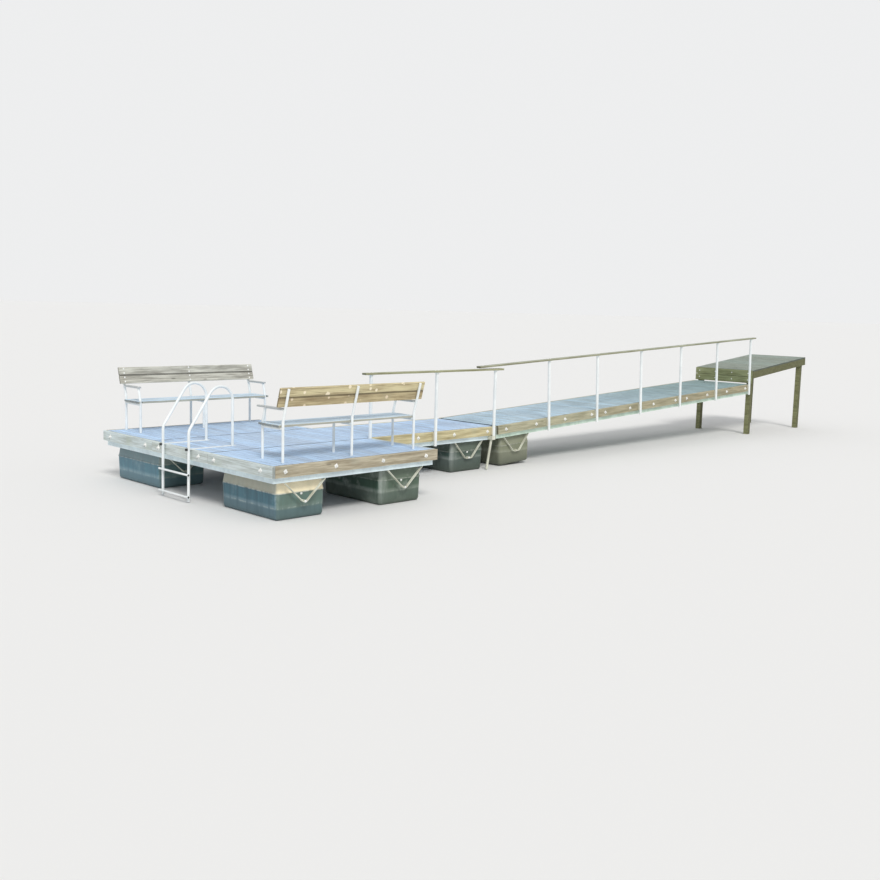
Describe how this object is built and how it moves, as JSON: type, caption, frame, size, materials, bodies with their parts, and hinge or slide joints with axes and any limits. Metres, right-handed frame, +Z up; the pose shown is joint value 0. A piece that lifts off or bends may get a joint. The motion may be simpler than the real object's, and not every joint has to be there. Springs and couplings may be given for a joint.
{
  "type": "floating wooden jetty",
  "caption": "Floating jetty with a timber-decked bathing platform, two benches, a swimming ladder and a hinged gangway with a handrail.",
  "frame": {"origin": "middle of the whole jetty's length and width, on the level plane that the pontoons and the landing's legs stand on", "axes": "+X along the jetty towards the shore, +Y away from the handrail's side, +Z up"},
  "size_m": [15.6919, 4.05, 2.0574],
  "materials": {
    "deck_wood": "weathered",
    "edge_wood": "weathered",
    "rail_wood": "weathered",
    "bench_wood": "weathered",
    "arm_plastic": "matte",
    "float_plastic": "stained",
    "frame_metal": "galvanised",
    "tube_metal": "galvanised",
    "black_rubber": "matte"
  },
  "bodies": {
    "landing": {"landing_deck": "deck_wood", "landing_joists": "edge_wood", "landing_legs": "edge_wood", "riser_boards": "edge_wood", "shore_beam": "edge_wood", "landing_hinge_lugs": "frame_metal"},
    "gangway": {"gangway_frame": "frame_metal", "gangway_deck": "deck_wood", "gangway_fascia_near": "edge_wood", "gangway_fascia_far": "edge_wood", "gangway_posts": "tube_metal", "gangway_handrail": "rail_wood", "pontoon_gangway": "float_plastic", "gangway_stays": "frame_metal", "gangway_lugs_float": "frame_metal", "gangway_lugs_shore": "frame_metal", "hinge_pins": "frame_metal"},
    "float": {"anchor_leg": "tube_metal", "back_bench_armrests": "arm_plastic", "back_bench_backrest": "bench_wood", "back_bench_frames": "tube_metal", "back_bench_seat": "bench_wood", "fascia_back": "edge_wood", "fascia_front": "edge_wood", "fascia_left": "edge_wood", "fascia_right": "edge_wood", "float_hinge_lugs": "frame_metal", "front_bench_armrests": "arm_plastic", "front_bench_backrest": "bench_wood", "front_bench_frames": "tube_metal", "front_bench_seat": "bench_wood", "hinge_end_plates": "frame_metal", "ladder_hoop_far": "tube_metal", "ladder_hoop_near": "tube_metal", "ladder_knobs": "black_rubber", "ladder_rungs": "tube_metal", "platform_deck_back": "deck_wood", "platform_deck_front": "deck_wood", "platform_deck_middle": "deck_wood", "platform_frame_back": "frame_metal", "platform_frame_front": "frame_metal", "platform_frame_middle": "frame_metal", "platform_stays": "frame_metal", "pontoon_back_left": "float_plastic", "pontoon_back_right": "float_plastic", "pontoon_front_left": "float_plastic", "pontoon_front_right": "float_plastic", "pontoon_walkway": "float_plastic", "rope_knob": "black_rubber", "walkway_deck": "deck_wood", "walkway_fascia_far": "edge_wood", "walkway_fascia_near": "edge_wood", "walkway_frame": "frame_metal", "walkway_handrail": "rail_wood", "walkway_posts": "tube_metal", "walkway_stays": "frame_metal"}
  },
  "joints": [
    {"name": "shore_hinge", "type": "hinge", "parent": "landing", "child": "gangway", "pos_m": [5.44091, 0, 0.9738], "axis": [0, 1, 0], "range_deg": [-0.7, 4]},
    {"name": "float_hinge", "type": "hinge", "parent": "gangway", "child": "float", "pos_m": [-2.48171, 0, 0.578], "axis": [0, 1, 0], "range_deg": [-4, 0.7]}
  ],
  "couplings": [
    {"joint": "float_hinge", "follows": "shore_hinge", "ratio": -1}
  ]
}
